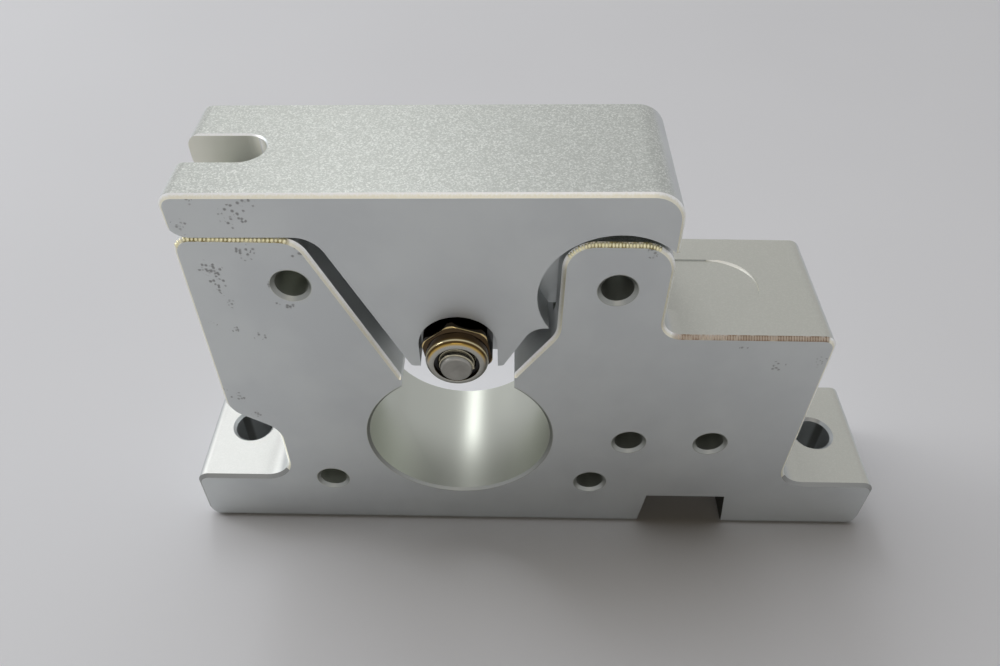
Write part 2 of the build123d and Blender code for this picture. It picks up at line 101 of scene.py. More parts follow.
# Places where dark specks crowd, as (x, z, radius)
BLOCK_SPOTS = [
    (-22.7, 17.2, 1.5), (-22.5, 15.4, 1.4), (-19.0, 19.9, 1.5), (-16.9, 15.8, 1.2),
    (-16.5, 13.4, 1.0), (-21.6, 13.0, 0.8), (-13.9, 19.6, 1.2), (33.0, 5.5, 1.1),
    (37.2, 6.2, 1.2), (29.0, 8.1, 0.6), (18.3, 20.3, 0.9), (-24.0, 10.4, 0.6),
    (-22.0, 9.5, 0.6), (-19.8, 8.5, 0.8), (-25.0, 0.4, 0.8), (-23.8, -0.9, 1.0),
    (-22.4, -3.4, 0.7), (-16.0, 12.9, 0.6),
]
LEVER_SPOTS = [(-17.9, 25.1, 1.3), (-19.2, 23.5, 1.5), (-24.4, 22.3, 1.2), (-22.9, 25.3, 0.7)]

# Share of the frost that is gone where the block is worn, and under the left foot's painted
# highlight
FROST_GONE = 0.85


# Small helpers

def linear(text):
    """Scene colour of an sRGB hex value."""
    channels = [int(text[i:i + 2], 16) / 255 for i in (1, 3, 5)]
    return tuple(
        c / 12.92 if c <= 0.04045 else ((c + 0.055) / 1.055) ** 2.4 for c in channels) + (1.0,)


def add_node(tree, kind, inputs=None, **settings):
    """Add a node, apply its settings, then set or link its live inputs, by name or by order.
    A node given as an input stands for its first live output."""
    node = tree.nodes.new(kind)
    for name, value in settings.items():
        setattr(node, name, value)
    live = [socket for socket in node.inputs if socket.enabled]
    for name, value in (inputs or {}).items():
        if isinstance(name, int):
            socket = live[name]
        else:
            socket = next(s for s in live if s.name == name)
        if isinstance(value, bpy.types.Node):
            value = next(s for s in value.outputs if s.enabled)
        if isinstance(value, bpy.types.NodeSocket):
            tree.links.new(value, socket)
        else:
            socket.default_value = value
    return node


def new_material(name):
    """Empty node material, and its node tree."""
    material = bpy.data.materials.new(name)
    material.use_nodes = True
    material.node_tree.nodes.clear()
    return material, material.node_tree


def finish_surface(tree, inputs):
    """Principled surface with the given sockets, wired to the output."""
    surface = add_node(tree, "ShaderNodeBsdfPrincipled", inputs)
    add_node(tree, "ShaderNodeOutputMaterial", {"Surface": surface.outputs[0]})


def paint(piece, material):
    """Give every slot of an object one material."""
    if not piece.material_slots:
        piece.data.materials.append(material)
    for slot in piece.material_slots:
        slot.material = material


def add_piece(name, mesh, body):
    """Object for a finished mesh, riding on a body."""
    piece = bpy.data.objects.new(name, mesh)
    bpy.context.scene.collection.objects.link(piece)
    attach(piece, body)
    return piece


def smooth_mesh(mesh, degrees):
    """Shade a mesh smooth, but for edges sharper than an angle."""
    for face in mesh.polygons:
        face.use_smooth = True
    mesh.set_sharp_from_angle(angle=radians(degrees))


def grown_mesh(name, tree, inputs, base=None):
    """Plain mesh that a geometry tree grows on a base mesh, or on nothing."""
    seed = bpy.data.objects.new(name + "_seed", base or bpy.data.meshes.new(name + "_seed"))
    bpy.context.scene.collection.objects.link(seed)
    modifier = seed.modifiers.new("grow", "NODES")
    modifier.node_group = tree
    for item in tree.interface.items_tree:
        if item.item_type == "SOCKET" and item.in_out == "INPUT" and item.name in inputs:
            modifier[item.identifier] = inputs[item.name]
    graph = bpy.context.evaluated_depsgraph_get()
    mesh = bpy.data.meshes.new_from_object(seed.evaluated_get(graph))
    mesh.name = name
    seed.modifiers.clear()
    bpy.data.objects.remove(seed)
    return mesh


def new_tree(name, sockets):
    """Geometry tree with named inputs, and its group input node."""
    tree = bpy.data.node_groups.new(name, "GeometryNodeTree")
    tree.interface.new_socket("Geometry", in_out="INPUT", socket_type="NodeSocketGeometry")
    tree.interface.new_socket("Geometry", in_out="OUTPUT", socket_type="NodeSocketGeometry")
    for label, kind, default in sockets:
        socket = tree.interface.new_socket(label, in_out="INPUT", socket_type=kind)
        socket.default_value = default
    return tree, add_node(tree, "NodeGroupInput")


# Sizes and colours that a user would change

class FeederMetalSettings(bpy.types.PropertyGroup):
    """Finish of the block and the lever."""

    face: StringProperty(
        name="Face", description="Colour of the blasted faces", default="#D5D8D7")
    face_dark: StringProperty(
        name="Face shade", description="Darker tone of the slow mottling", default="#CED1D1")
    # The frost is real grain; its bright grains on level faces are painted glints
    crown: StringProperty(
        name="Frost", description="Colour of the bright grains on level faces", default="#E3E5DF")
    pit: StringProperty(
        name="Frost shade", description="Colour between the grains on level faces",
        default="#BEC1BA")
    edge: StringProperty(
        name="Bare edge", description="Colour of the broken edges", default="#FFFFFC")
    edge_dark: StringProperty(
        name="Bare edge shade", description="Darker tone of the broken edges", default="#F0ECD8")
    gold: StringProperty(
        name="Cutter mark", description="Colour of the cutter marks on the posts",
        default="#EDE4AC")
    # Painted reflection: dark golden brown between the marks on the posts
    gold_dark: StringProperty(
        name="Cutter mark shade", description="Colour between the marks on the posts",
        default="#8F8459")
    tick: StringProperty(
        name="Cutter tick", description="Colour of the cutter ticks on the shoulder",
        default="#D9CEBD")
    # Painted reflection: brown between the ticks on the shoulder
    tick_gap_reflection: StringProperty(
        name="Cutter tick shade", description="Colour between the ticks on the shoulder",
        default="#927F6C")
    worn: StringProperty(
        name="Worn", description="Colour of the smooth, worn shoulder and right foot",
        default="#CACAC0")
    bored: StringProperty(
        name="Bored wall", description="Colour of the smooth walls of the bore and holes",
        default="#CBCEC4")
    stain: StringProperty(
        name="Stain", description="Colour of the dark specks", default="#575350")
    grain: FloatProperty(
        name="Grain", description="Width of a blasting grain as drawn, coarse enough to show",
        default=0.13 * MM, unit="LENGTH")
    grain_depth: FloatProperty(
        name="Grain depth", description="Depth of the blasting grain", default=0.016 * MM,
        unit="LENGTH")
    roughness: FloatProperty(
        name="Roughness", description="Roughness of the blasted faces", default=0.43,
        min=0, max=1, subtype="FACTOR")


class FeederMarksSettings(bpy.types.PropertyGroup):
    """Cutter marks along the broken edges."""

    pitch: FloatProperty(
        name="Pitch", description="Distance between two cutter marks", default=0.38 * MM,
        unit="LENGTH")
    width: FloatProperty(
        name="Width", description="Half length of a mark across the edge", default=0.27 * MM,
        unit="LENGTH")
    height: FloatProperty(
        name="Height", description="Height of a mark", default=0.085 * MM, unit="LENGTH")
    seed: IntProperty(name="Seed", description="Seed of the marks' unevenness", default=7)


class FeederScrewSettings(bpy.types.PropertyGroup):
    """Axle screw and lock nut."""

    radius: FloatProperty(
        name="Radius", description="Radius over the screw's thread", default=1.95 * MM,
        unit="LENGTH")
    pitch: FloatProperty(
        name="Thread pitch", description="Rise of the thread in one turn", default=0.7 * MM,
        unit="LENGTH")
    thread_depth: FloatProperty(
        name="Thread depth", description="Depth of the thread", default=0.3 * MM,
        unit="LENGTH")
    steel: StringProperty(name="Steel", description="Colour of the screw", default="#B4B2AB")
    zinc: StringProperty(name="Zinc", description="Colour of the nut", default="#B5B4AC")
    zinc_gold: StringProperty(
        name="Zinc tint", description="Golden tint of the nut's plating", default="#C9A85C")
    # Painted shade: brown of the hexagon deep in the lever's pocket
    zinc_shade: StringProperty(
        name="Aged zinc", description="Colour of the aged plating on the hexagon",
        default="#4E402E")


class FeederStageSettings(bpy.types.PropertyGroup):
    """Camera, floor and lamps."""

    camera: FloatVectorProperty(
        name="Camera", description="Place of the camera",
        default=(4.39 * MM, -74.47 * MM, 67.58 * MM), subtype="TRANSLATION", unit="LENGTH")
    lens: FloatProperty(name="Lens", description="Focal length in mm", default=29.74)
    floor: StringProperty(name="Floor", description="Colour of the floor", default="#EAEBEE")
    background: StringProperty(
        name="Background", description="Colour of the background that metal mirrors",
        default="#C7C7CA")
    sky: FloatProperty(
        name="Sky", description="Strength of the light from all round", default=1.14, min=0)
    front_share: FloatProperty(
        name="Front share", description="Share of that light that comes from the front",
        default=0.03, min=0, max=1, subtype="FACTOR")
    window: FloatProperty(
        name="Window", description="Power of the lamp behind, in watts", default=0.2, min=0)
    side: FloatProperty(
        name="Side", description="Power of the lamp on the left, in watts", default=0.36, min=0)
    front: FloatProperty(
        name="Front", description="Power of the strip lamp in front, in watts", default=0.128,
        min=0)


# Finishes

def surface_place(tree):
    """Object coordinates in millimetres."""
    given = add_node(tree, "ShaderNodeTexCoord")
    return add_node(
        tree, "ShaderNodeVectorMath", {0: given.outputs["Object"], "Scale": 1 / MM},
        operation="SCALE")


def place_and_normal(tree):
    """Object coordinates in millimetres, their parts, and the parts of the surface normal."""
    place = surface_place(tree)
    given = add_node(tree, "ShaderNodeTexCoord")
    point = add_node(tree, "ShaderNodeSeparateXYZ", {0: place})
    normal = add_node(tree, "ShaderNodeSeparateXYZ", {0: given.outputs["Normal"]})
    return place, point.outputs, normal.outputs


def product(tree, *shares):
    """Product of shares. A share can be a test, given as a socket, a comparison and a limit, which
    is 1 where it holds."""
    total = None
    for share in shares:
        if isinstance(share, tuple):
            value, comparison, limit = share
            share = add_node(
                tree, "ShaderNodeMath", {0: value, 1: limit}, operation=comparison)
        total = share if total is None else add_node(
            tree, "ShaderNodeMath", {0: total, 1: share}, operation="MULTIPLY")
    return total


def stained(tree, place, spots):
    """Share of dark specks up to 0.3 mm wide, crowded around a few places on the front faces."""
    cells = add_node(tree, "ShaderNodeTexVoronoi", {"Vector": place, "Scale": 1 / 0.32})
    dots = add_node(
        tree, "ShaderNodeMapRange",
        {"Value": cells.outputs["Distance"], "From Min": 0.66, "From Max": 0.24},
        interpolation_type="SMOOTHSTEP")
    chance = add_node(tree, "ShaderNodeSeparateXYZ", {0: cells.outputs["Color"]})
    near = None
    for x, z, radius in spots:
        away = add_node(
            tree, "ShaderNodeVectorMath", {0: place, 1: (x, FRONT_Y / MM, z)},
            operation="DISTANCE")
        close = add_node(
            tree, "ShaderNodeMapRange",
            {"Value": away, "From Min": radius, "From Max": 0.0, "To Min": 0.0, "To Max": 0.78})
        near = close if near is None else add_node(
            tree, "ShaderNodeMath", {0: near, 1: close}, operation="MAXIMUM")
    return product(tree, dots, (chance.outputs["X"], "LESS_THAN", near))


def in_holes(tree, point, holes):
    """Share that is 1 in the walls and rims of round holes from front to back."""
    flat = add_node(tree, "ShaderNodeCombineXYZ", {"X": point["X"], "Z": point["Z"]})
    total = None
    for x, z, radius in holes:
        away = add_node(
            tree, "ShaderNodeVectorMath", {0: flat, 1: (x, 0.0, z)}, operation="DISTANCE")
        inside = add_node(tree, "ShaderNodeMath", {0: away, 1: radius}, operation="LESS_THAN")
        total = inside if total is None else add_node(
            tree, "ShaderNodeMath", {0: total, 1: inside}, operation="MAXIMUM")
    return total


def broken_edge(tree, normal):
    """Share that is 1 on the slanted breaks around the front faces."""
    slant = add_node(tree, "ShaderNodeMath", {0: normal["Y"], 1: 0.7071}, operation="ADD")
    off = add_node(tree, "ShaderNodeMath", {0: slant}, operation="ABSOLUTE")
    return add_node(
        tree, "ShaderNodeMapRange", {"Value": off, "From Min": 0.2, "From Max": 0.1},
        interpolation_type="SMOOTHSTEP")


def bare_edge(tree, look, place, point):
    """Colour of the broken edges, creamy below and painted whiter above as a painted highlight,
    with small facets in it.
    """
    facets = add_node(
        tree, "ShaderNodeTexNoise",
        {"Vector": place, "Scale": 1 / 0.22, "Detail": 3.0, "Roughness": 0.7})
    facet = add_node(
        tree, "ShaderNodeMapRange",
        {"Value": facets, "From Min": 0.4, "From Max": 0.6, "To Min": -0.2, "To Max": 0.2})
    front = FRONT_Y / MM
    inner = add_node(
        tree, "ShaderNodeMapRange",
        {"Value": point["Y"], "From Min": front + 0.12, "From Max": front + 0.32})
    # Painted highlight: the upper part of each break is painted whiter
    whiter = add_node(
        tree, "ShaderNodeMath", {0: inner, 1: facet}, operation="ADD", use_clamp=True)
    return add_node(
        tree, "ShaderNodeMix",
        {"Factor": whiter, "A": linear(look.edge_dark), "B": linear(look.edge)},
        data_type="RGBA")


def lay_over(tree, skin, *layers):
    """Lay colours over a skin. A layer is the part of the skin, a share and a colour."""
    for part, share, colour in layers:
        if isinstance(colour, str):
            colour = linear(colour)
        skin[part] = add_node(
            tree, "ShaderNodeMix", {"Factor": share, "A": skin[part], "B": colour},
            data_type="RGBA")


def lever_zones(tree, look, place, point, normal, skin):
    """Milled walls of the lever's slot, painted bright as painted light, and walls of the nut's
    pocket, painted dark as painted shade."""
    left, right, front, back = SLOT
    slot = product(
        tree, (normal["Z"], "LESS_THAN", 0.5), (normal["X"], "GREATER_THAN", -0.5),
        (point["X"], "GREATER_THAN", left), (point["X"], "LESS_THAN", right),
        (point["Y"], "GREATER_THAN", front), (point["Y"], "LESS_THAN", back))
    recess = product(
        tree, in_holes(tree, point, [NUT_POCKET]), (normal["Y"], "GREATER_THAN", -0.95),
        (point["Y"], "LESS_THAN", NUT_FLOOR))
    # Painted light on the slot's milled walls; painted shade on the walls of the nut's pocket
    lay_over(tree, skin, ("faces", slot, "#F0EFE2"), ("faces", recess, "#4B4A45"))


def block_zones(tree, look, place, point, normal, skin):
    """Bored walls in painted light and shade, a channel painted dark as shade, worn faces on the
    right, a painted highlight on the left foot, feet and hole edges painted grey as shade, and
    upper edges painted golden on the posts and brown on the shoulder as a painted reflection."""
    bored = in_holes(tree, point, HOLES)
    solid = add_node(tree, "ShaderNodeMath", {0: 1.0, 1: bored}, operation="SUBTRACT")
    skin["level"] = product(tree, skin["level"], solid)

    # Bored walls: smoother toward the back; painted light and shade, paler at the back and left
    deep = add_node(
        tree, "ShaderNodeMapRange", {"Value": point["Y"], "From Min": -15.0, "From Max": -6.0},
        interpolation_type="SMOOTHSTEP")
    leftward = add_node(
        tree, "ShaderNodeMapRange", {"Value": point["X"], "From Min": -3.0, "From Max": -8.5},
        interpolation_type="SMOOTHSTEP")
    bore_painted_light = add_node(tree, "ShaderNodeMath", {0: deep, 1: leftward}, operation="MAXIMUM")
    wall = add_node(
        tree, "ShaderNodeMix",
        {"Factor": bore_painted_light, "A": linear("#AEB0A7"), "B": linear(look.bored)}, data_type="RGBA")
    polish = add_node(
        tree, "ShaderNodeMapRange", {"Value": deep, "To Min": 0.02, "To Max": -0.14})
    skin["rough"] = add_node(
        tree, "ShaderNodeMath", {0: bored, 1: polish, 2: skin["rough"]},
        operation="MULTIPLY_ADD")

    # Painted shade: the channel's walls are dark, so that the floor between them stays dark
    left, right, top = CHANNEL
    facing = add_node(tree, "ShaderNodeMath", {0: normal["Y"]}, operation="ABSOLUTE")
    channel = product(
        tree, (facing, "LESS_THAN", 0.5), (point["X"], "GREATER_THAN", left),
        (point["X"], "LESS_THAN", right), (point["Z"], "LESS_THAN", top))

    # Worn shoulder and right foot lose most frost; a painted highlight covers it on the left foot
    worn = product(tree, (point["X"], "GREATER_THAN", WORN_FROM))
    calm = add_node(tree, "ShaderNodeMapRange", {"Value": worn, "To Min": 1.0, "To Max": 0.3})
    skin["relief"] = product(tree, solid, calm)
    low = product(tree, (point["Z"], "LESS_THAN", FEET_BELOW))
    foot = product(tree, low, (point["X"], "LESS_THAN", 0.0), FROST_GONE)

    # Painted reflection: upper edges tinted golden brown between the cutter marks, in patches
    upward = add_node(
        tree, "ShaderNodeMapRange", {"Value": normal["Z"], "From Min": 0.6, "From Max": 0.69},
        interpolation_type="SMOOTHSTEP")
    patches = add_node(
        tree, "ShaderNodeTexNoise", {"Vector": place, "Scale": 1 / 0.8, "Detail": 2.0})
    uneven = add_node(
        tree, "ShaderNodeMapRange",
        {"Value": patches, "From Min": 0.38, "From Max": 0.55, "To Min": 0.6, "To Max": 1.0})
    cut = product(
        tree, upward, (point["Z"], "GREATER_THAN", SHOULDER_TOP - 1.2), solid, uneven)
    start = SHOULDER_EDGE[0]
    shoulder = add_node(
        tree, "ShaderNodeMapRange",
        {"Value": point["X"], "From Min": start - 1.2, "From Max": start - 0.4})
    dull = add_node(
        tree, "ShaderNodeMix",
        {"Factor": shoulder, "A": linear(look.gold_dark), "B": linear(look.tick_gap_reflection)},
        data_type="RGBA")
    # Painted shade: bare edges of the feet and of the holes are painted grey instead of bright
    lay_over(
        tree, skin, ("faces", bored, wall), ("faces", channel, "#4C4C47"),
        ("frosted", product(tree, worn, FROST_GONE), look.worn), ("frosted", foot, "#F4F5F0"),
        ("bare", low, "#9A9B98"), ("bare", bored, "#A4A6A1"), ("bare", cut, dull))


def blasted_aluminium(name, look, spots, add_zones):
    """Aluminium, bead blasted and clear anodised, which gives a pale matte metal that frosts where
    it mirrors the light. The cutter broke the edges afterwards and left them bare and brighter."""
    material, tree = new_material(name)
    place, point, normal = place_and_normal(tree)
    edge = broken_edge(tree, normal)

    # Slow mottling of all faces
    cloud = add_node(
        tree, "ShaderNodeTexNoise",
        {"Vector": place, "Scale": 1 / 9.0, "Detail": 3.0, "Roughness": 0.5})
    mottle = add_node(
        tree, "ShaderNodeMapRange", {"Value": cloud, "From Min": 0.3, "From Max": 0.7},
        interpolation_type="SMOOTHSTEP")
    faces = add_node(
        tree, "ShaderNodeMix",
        {"Factor": mottle, "A": linear(look.face), "B": linear(look.face_dark)},
        data_type="RGBA")

    # The blasting dimples are about 0.05 mm wide. They are drawn coarser, to show as frost on the
    # faces that look up; the grain is real, and its bright grains there are painted glints.
    cells = add_node(
        tree, "ShaderNodeTexVoronoi", {"Vector": place, "Scale": MM / look.grain})
    chance = add_node(tree, "ShaderNodeSeparateXYZ", {0: cells.outputs["Color"]})
    frost = add_node(
        tree, "ShaderNodeMath", {0: chance.outputs["X"], 1: 2.2}, operation="POWER")
    frosted = add_node(
        tree, "ShaderNodeMix",
        {"Factor": frost, "A": linear(look.pit), "B": linear(look.crown)}, data_type="RGBA")
    level = add_node(
        tree, "ShaderNodeMapRange", {"Value": normal["Z"], "From Min": 0.7, "From Max": 0.95},
        interpolation_type="SMOOTHSTEP")

    # Roughness varies slowly over the faces, and is lower on the bare edges
    smear = add_node(
        tree, "ShaderNodeTexNoise", {"Vector": place, "Scale": 1 / 26.0, "Detail": 1.0})
    rough = add_node(
        tree, "ShaderNodeMath", {0: smear, 1: 0.08, 2: look.roughness},
        operation="MULTIPLY_ADD")
    rough = add_node(
        tree, "ShaderNodeMath", {0: edge, 1: -0.1, 2: rough}, operation="MULTIPLY_ADD")

    # Parts that the block's or the lever's own zones change
    skin = {
        "faces": faces,
        "frosted": frosted,
        "bare": bare_edge(tree, look, place, point),
        "level": level,
        "rough": rough,
        "relief": 1.0,
    }
    add_zones(tree, look, place, point, normal, skin)
    colour = add_node(
        tree, "ShaderNodeMix",
        {"Factor": skin["level"], "A": skin["faces"], "B": skin["frosted"]}, data_type="RGBA")
    colour = add_node(
        tree, "ShaderNodeMix", {"Factor": edge, "A": colour, "B": skin["bare"]},
        data_type="RGBA")

    # Dark specks of dirt and worn anodising
    front = add_node(
        tree, "ShaderNodeMapRange", {"Value": normal["Y"], "From Min": -0.9, "From Max": -0.99})
    specks = product(tree, stained(tree, place, spots), front, 0.5)
    colour = add_node(
        tree, "ShaderNodeMix", {"Factor": specks, "A": colour, "B": linear(look.stain)},
        data_type="RGBA")

    # Fine relief of the blasting, shallower on the faces that don't look up
    grain = add_node(
        tree, "ShaderNodeTexNoise",
        {"Vector": place, "Scale": MM / look.grain, "Detail": 3.0, "Roughness": 0.7})
    strength = add_node(
        tree, "ShaderNodeMapRange", {"Value": skin["level"], "To Min": 0.45, "To Max": 1.0})
    relief = add_node(tree, "ShaderNodeBump", {
        "Height": grain.outputs[0],
        "Distance": look.grain_depth,
        "Strength": product(tree, strength, skin["relief"]),
    })
    finish_surface(tree, {
        "Base Color": colour,
        "Metallic": add_node(
            tree, "ShaderNodeMath", {0: 1.0, 1: specks}, operation="SUBTRACT"),
        "Roughness": skin["rough"],
        "Normal": relief,
    })
    return material


def machined_lines(tree, place, spacing, depth, strength):
    """Faint relief that a tool leaves, by spacing and depth in millimetres."""
    lines = add_node(
        tree, "ShaderNodeTexNoise", {"Vector": place, "Scale": 1 / spacing, "Detail": 2.0})
    return add_node(
        tree, "ShaderNodeBump",
        {"Height": lines.outputs[0], "Distance": depth * MM, "Strength": strength})


def drawn_steel(name, colour, tint, roughness, grain=0.15):
    """Fastener and bearing steel, which gives a darker, warmer metal with faint drawing lines."""
    material, tree = new_material(name)
    place = surface_place(tree)
    cloud = add_node(
        tree, "ShaderNodeTexNoise",
        {"Vector": place, "Scale": 1 / 1.6, "Detail": 3.0, "Roughness": 0.6})
    finish_surface(tree, {
        "Base Color": add_node(
            tree, "ShaderNodeMix", {"Factor": cloud, "A": linear(colour), "B": linear(tint)},
            data_type="RGBA"),
        "Metallic": 1.0,
        "Roughness": add_node(
            tree, "ShaderNodeMath", {0: cloud, 1: 0.08, 2: roughness},
            operation="MULTIPLY_ADD"),
        "Normal": machined_lines(tree, place, grain, 0.002, 0.6),
    })
    return material


def yellow_zinc(name, zinc, gold, brown):
    """Thin yellow zinc plate: grey where it faces front, golden with painted reflection bands
    where its rounded shoulders look up, and brown painted shade on the hexagon, with a painted
    highlight on its golden ridge."""
    material, tree = new_material(name)
    place, point, normal = place_and_normal(tree)

    # Painted reflection: rings of tint that the rounded shoulder shows from its side to its front
    shoulder = add_node(
        tree, "ShaderNodeMapRange",
        {"Value": normal["Y"], "From Min": -0.97, "From Max": -0.85},
        interpolation_type="SMOOTHSTEP")
    upward = add_node(
        tree, "ShaderNodeMapRange", {"Value": normal["Z"], "From Min": -0.1, "From Max": 0.35},
        interpolation_type="SMOOTHSTEP")
    reflection_bands = add_node(
        tree, "ShaderNodeMapRange", {"Value": normal["Y"], "From Min": 0.0, "From Max": -1.0})
    rings = add_node(tree, "ShaderNodeValToRGB", {"Fac": reflection_bands})
    ramp = rings.color_ramp.elements
    ramp[0].color, ramp[1].position, ramp[1].color = linear("#3A2D1E"), 0.95, linear(zinc)
    for position, text in (
            (0.22, "#6B5636"), (0.36, "#F3E6BA"), (0.5, "#5A4426"), (0.64, "#54401F"),
            (0.78, gold)):
        ramp.new(position).color = linear(text)
    shade = add_node(
        tree, "ShaderNodeMix",
        {"Factor": product(tree, shoulder, upward), "A": linear(zinc),
         "B": rings.outputs["Color"]}, data_type="RGBA")

    # The hexagon behind the collar, in painted shade that is darker on its sides, and with a
    # golden painted highlight on its ridge
    ridge_at, collar_at = -16.96, -17.22
    sides = add_node(
        tree, "ShaderNodeMapRange", {"Value": normal["Y"], "From Min": -0.5, "From Max": -0.1})
    shade_and_highlight = add_node(
        tree, "ShaderNodeMix", {"Factor": sides, "A": linear(brown), "B": linear("#2E2820")},
        data_type="RGBA")
    ridge = add_node(
        tree, "ShaderNodeMath", {0: point["Y"], 1: ridge_at, 2: 0.05}, operation="COMPARE")
    shade_and_highlight = add_node(
        tree, "ShaderNodeMix", {"Factor": ridge, "A": shade_and_highlight, "B": linear("#D8C08A")},
        data_type="RGBA")
    deep = add_node(
        tree, "ShaderNodeMapRange",
        {"Value": point["Y"], "From Min": collar_at - 0.04, "From Max": collar_at})
    shade = add_node(
        tree, "ShaderNodeMix", {"Factor": deep, "A": shade, "B": shade_and_highlight}, data_type="RGBA")

    cloud = add_node(
        tree, "ShaderNodeTexNoise",
        {"Vector": place, "Scale": 1 / 1.2, "Detail": 3.0, "Roughness": 0.6})
    finish_surface(tree, {
        "Base Color": shade,
        "Metallic": 1.0,
        "Roughness": add_node(
            tree, "ShaderNodeMapRange", {"Value": cloud, "To Min": 0.08, "To Max": 0.2}),
        "Normal": machined_lines(tree, place, 0.25, 0.002, 0.5),
    })
    return material


def black_nylon(name):
    """Turned black nylon: nearly black with a soft sheen and a faint turning grain."""
    material, tree = new_material(name)
    place = surface_place(tree)
    cloud = add_node(
        tree, "ShaderNodeTexNoise",
        {"Vector": place, "Scale": 1 / 0.7, "Detail": 3.0, "Roughness": 0.6})
    finish_surface(tree, {
        "Base Color": add_node(
            tree, "ShaderNodeMix",
            {"Factor": cloud, "A": linear("#131316"), "B": linear("#222128")},
            data_type="RGBA"),
        "Roughness": add_node(
            tree, "ShaderNodeMapRange", {"Value": cloud, "To Min": 0.38, "To Max": 0.55}),
        "IOR": 1.53,
        "Normal": machined_lines(tree, place, 0.25, 0.006, 0.5),
    })
    return material


# Pieces

class FEEDER_OT_block(bpy.types.Operator):
    """Finish the block and the lever in blasted aluminium"""

    bl_idname = "feeder.block"
    bl_label = "Block and lever"

    def execute(self, context):
        look = context.scene.feeder_metal
        for node, name, spots, zones in (
                ("feeder_block", "blasted_aluminium_block", BLOCK_SPOTS, block_zones),
                ("idler_lever", "blasted_aluminium_lever", LEVER_SPOTS, lever_zones)):
            paint(NODES[node], blasted_aluminium(name, look, spots, zones))
        return {"FINISHED"}


def cutter_mark_tree(material):
    """Tree that sets a row of small scallops along the middle of a broken edge."""
    tree, given = new_tree("cutter_marks", [
        ("Pitch", "NodeSocketFloat", 0.38 * MM),
        ("Width", "NodeSocketFloat", 0.27 * MM),
        ("Height", "NodeSocketFloat", 0.085 * MM),
        ("Seed", "NodeSocketInt", 7),
    ])
    path = add_node(tree, "GeometryNodeMeshToCurve", {"Mesh": given.outputs["Geometry"]})
    spaced = add_node(
        tree, "GeometryNodeResampleCurve", {"Curve": path, "Length": given.outputs["Pitch"]},
        mode="LENGTH")
    scallop = add_node(
        tree, "GeometryNodeMeshUVSphere", {"Segments": 10, "Rings": 6, "Radius": 1.0})
    front = (0.0, -1.0, 0.0)
    along = add_node(tree, "GeometryNodeInputTangent")
    outward = add_node(
        tree, "ShaderNodeVectorMath", {0: front, 1: along}, operation="CROSS_PRODUCT")
    facing = add_node(tree, "ShaderNodeVectorMath", {0: outward, 1: front}, operation="ADD")
    turned = add_node(tree, "FunctionNodeAlignRotationToVector", {"Vector": along}, axis="X")
    turned = add_node(
        tree, "FunctionNodeAlignRotationToVector", {"Rotation": turned, "Vector": facing},
        axis="Z", pivot_axis="X")
    uneven = add_node(
        tree, "FunctionNodeRandomValue", {"Min": 0.8, "Max": 1.12, "Seed": given.outputs["Seed"]},
        data_type="FLOAT")
    size = add_node(tree, "ShaderNodeCombineXYZ", {
        "X": product(tree, given.outputs["Pitch"], 0.46),
        "Y": given.outputs["Width"],
        "Z": given.outputs["Height"],
    })
    size = add_node(tree, "ShaderNodeVectorMath", {0: size, "Scale": uneven}, operation="SCALE")
    placed = add_node(tree, "GeometryNodeInstanceOnPoints", {
        "Points": spaced,
        "Instance": scallop,
        "Rotation": turned,
        "Scale": size,
    })
    real = add_node(tree, "GeometryNodeRealizeInstances", {"Geometry": placed})
    coated = add_node(tree, "GeometryNodeSetMaterial", {"Geometry": real, "Material": material})
    smooth = add_node(tree, "GeometryNodeSetShadeSmooth", {"Geometry": coated})
    add_node(tree, "NodeGroupOutput", {"Geometry": smooth})
    return tree


def edge_path(name, corners):
    """Mesh of a line through (x, z) points in mm, on the middle of the front edge break."""
    mesh = bpy.data.meshes.new(name)
    points = [(x * MM, FRONT_Y + EDGE_MIDDLE * MM, z * MM) for x, z in corners]
    mesh.from_pydata(points, [(i, i + 1) for i in range(len(points) - 1)], [])
    return mesh


def post_corners(roundings, count=9):
    """Points (x, z) in mm over a post's roundings, on the middle of the edge break."""
    corners = []
    for x, radius, start, stop in roundings:
        reach = radius - EDGE_MIDDLE
        for i in range(count):
            turn = radians(start + (stop - start) * i / (count - 1))
            corners.append((x + reach * cos(turn), POST_TOP / MM - radius + reach * sin(turn)))
    return corners


def cutter_stop_mesh():
    """Fillet that the cutter's corner left where it stopped on the shoulder, with thin ends."""
    count, start, sweep = 28, 100, -112
    inner, depth, sunk = 0.03, 0.15, 0.002
    rings = []
    for i in range(count + 1):
        turn = radians(start + sweep * i / count)
        width = 0.03 + 0.34 * sin(pi * (i / count) ** 0.75) ** 2
        section = []
        for away, height in (
                (inner, 0.0), (0.0, 0.0), (-0.35 * width, -depth / 2), (-width, -depth),
                (inner, -depth)):
            reach = CUTTER_RADIUS + away
            section.append((
                (CUTTER_STOP[0] + reach * cos(turn)) * MM,
                (CUTTER_STOP[1] + reach * sin(turn)) * MM,
                (SHOULDER_TOP + height - sunk) * MM))
        rings.append(section)
    return ring_mesh("cutter_stop_fillet", rings)


